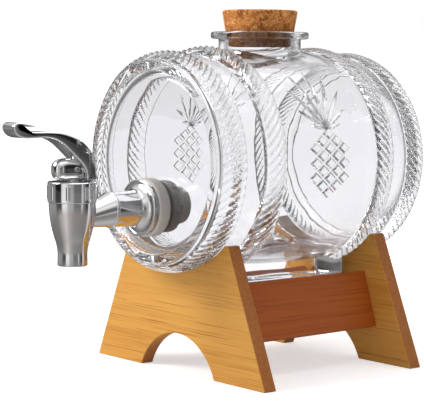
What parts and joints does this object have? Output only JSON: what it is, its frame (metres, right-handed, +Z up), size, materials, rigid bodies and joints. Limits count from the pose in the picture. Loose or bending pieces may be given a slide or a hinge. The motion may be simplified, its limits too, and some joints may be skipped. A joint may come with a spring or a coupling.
{
  "type": "drink dispenser",
  "caption": "Glass barrel drink dispenser lying on a wooden stand, with rope bands, a corked neck and a sprung lever tap.",
  "frame": {"origin": "on the floor plane, under the centre of the whole object's outline", "axes": "+Z up, -Y towards the tap, +X to the right as seen facing the tap"},
  "size_m": [0.1494, 0.2496, 0.204],
  "materials": {
    "clear_glass": "clear pressed glass",
    "cork": "granulated cork, matte",
    "chrome": "bright chrome plate",
    "steel": "stainless, ground",
    "grey_silicone": "translucent satin",
    "grey_plastic": "satin",
    "black_rubber": "matte",
    "bamboo": "oiled, fine straight grain",
    "dowel_wood": "plain"
  },
  "bodies": {
    "stand": {"front_board": "bamboo", "rear_board": "bamboo", "right_rail": "bamboo", "left_rail": "bamboo", "stand_dowels": "dowel_wood"},
    "barrel": {"glass_barrel": "clear_glass", "tap_body": "chrome", "arm_ring": "chrome", "flange_sleeve": "chrome", "outer_gasket": "grey_silicone", "inner_gasket": "grey_silicone", "lock_nut": "grey_plastic", "bonnet_ring": "chrome", "bonnet_seal": "black_rubber", "stem_seal": "black_rubber", "return_spring": "steel"},
    "cork": {"cork_stopper": "cork"},
    "stem": {"valve_stem": "steel", "valve_plug": "grey_silicone"},
    "lever": {"lever": "chrome", "lever_pin": "steel"}
  },
  "joints": [
    {"name": "barrel_lift", "type": "slide", "parent": "stand", "child": "barrel", "axis": [0, 0, 1], "range_m": [0, 0.08]},
    {"name": "cork_pull", "type": "slide", "parent": "barrel", "child": "cork", "axis": [0, 0, 1], "range_m": [0, 0.04]},
    {"name": "stem_lift", "type": "slide", "parent": "barrel", "child": "stem", "axis": [0, 0, 1], "range_m": [0, 0.0019], "stiffness_N_per_m": 100, "springref_m": -0.004, "deforming": ["return_spring"]},
    {"name": "lever_tilt", "type": "hinge", "parent": "stem", "child": "lever", "pos_m": [0, -0.08465, 0.117], "axis": [1, 0, 0], "range_deg": [0, 20]}
  ],
  "couplings": [
    {"joint": "stem_lift", "follows": "lever_tilt", "m_per_rad": 0.0053}
  ]
}
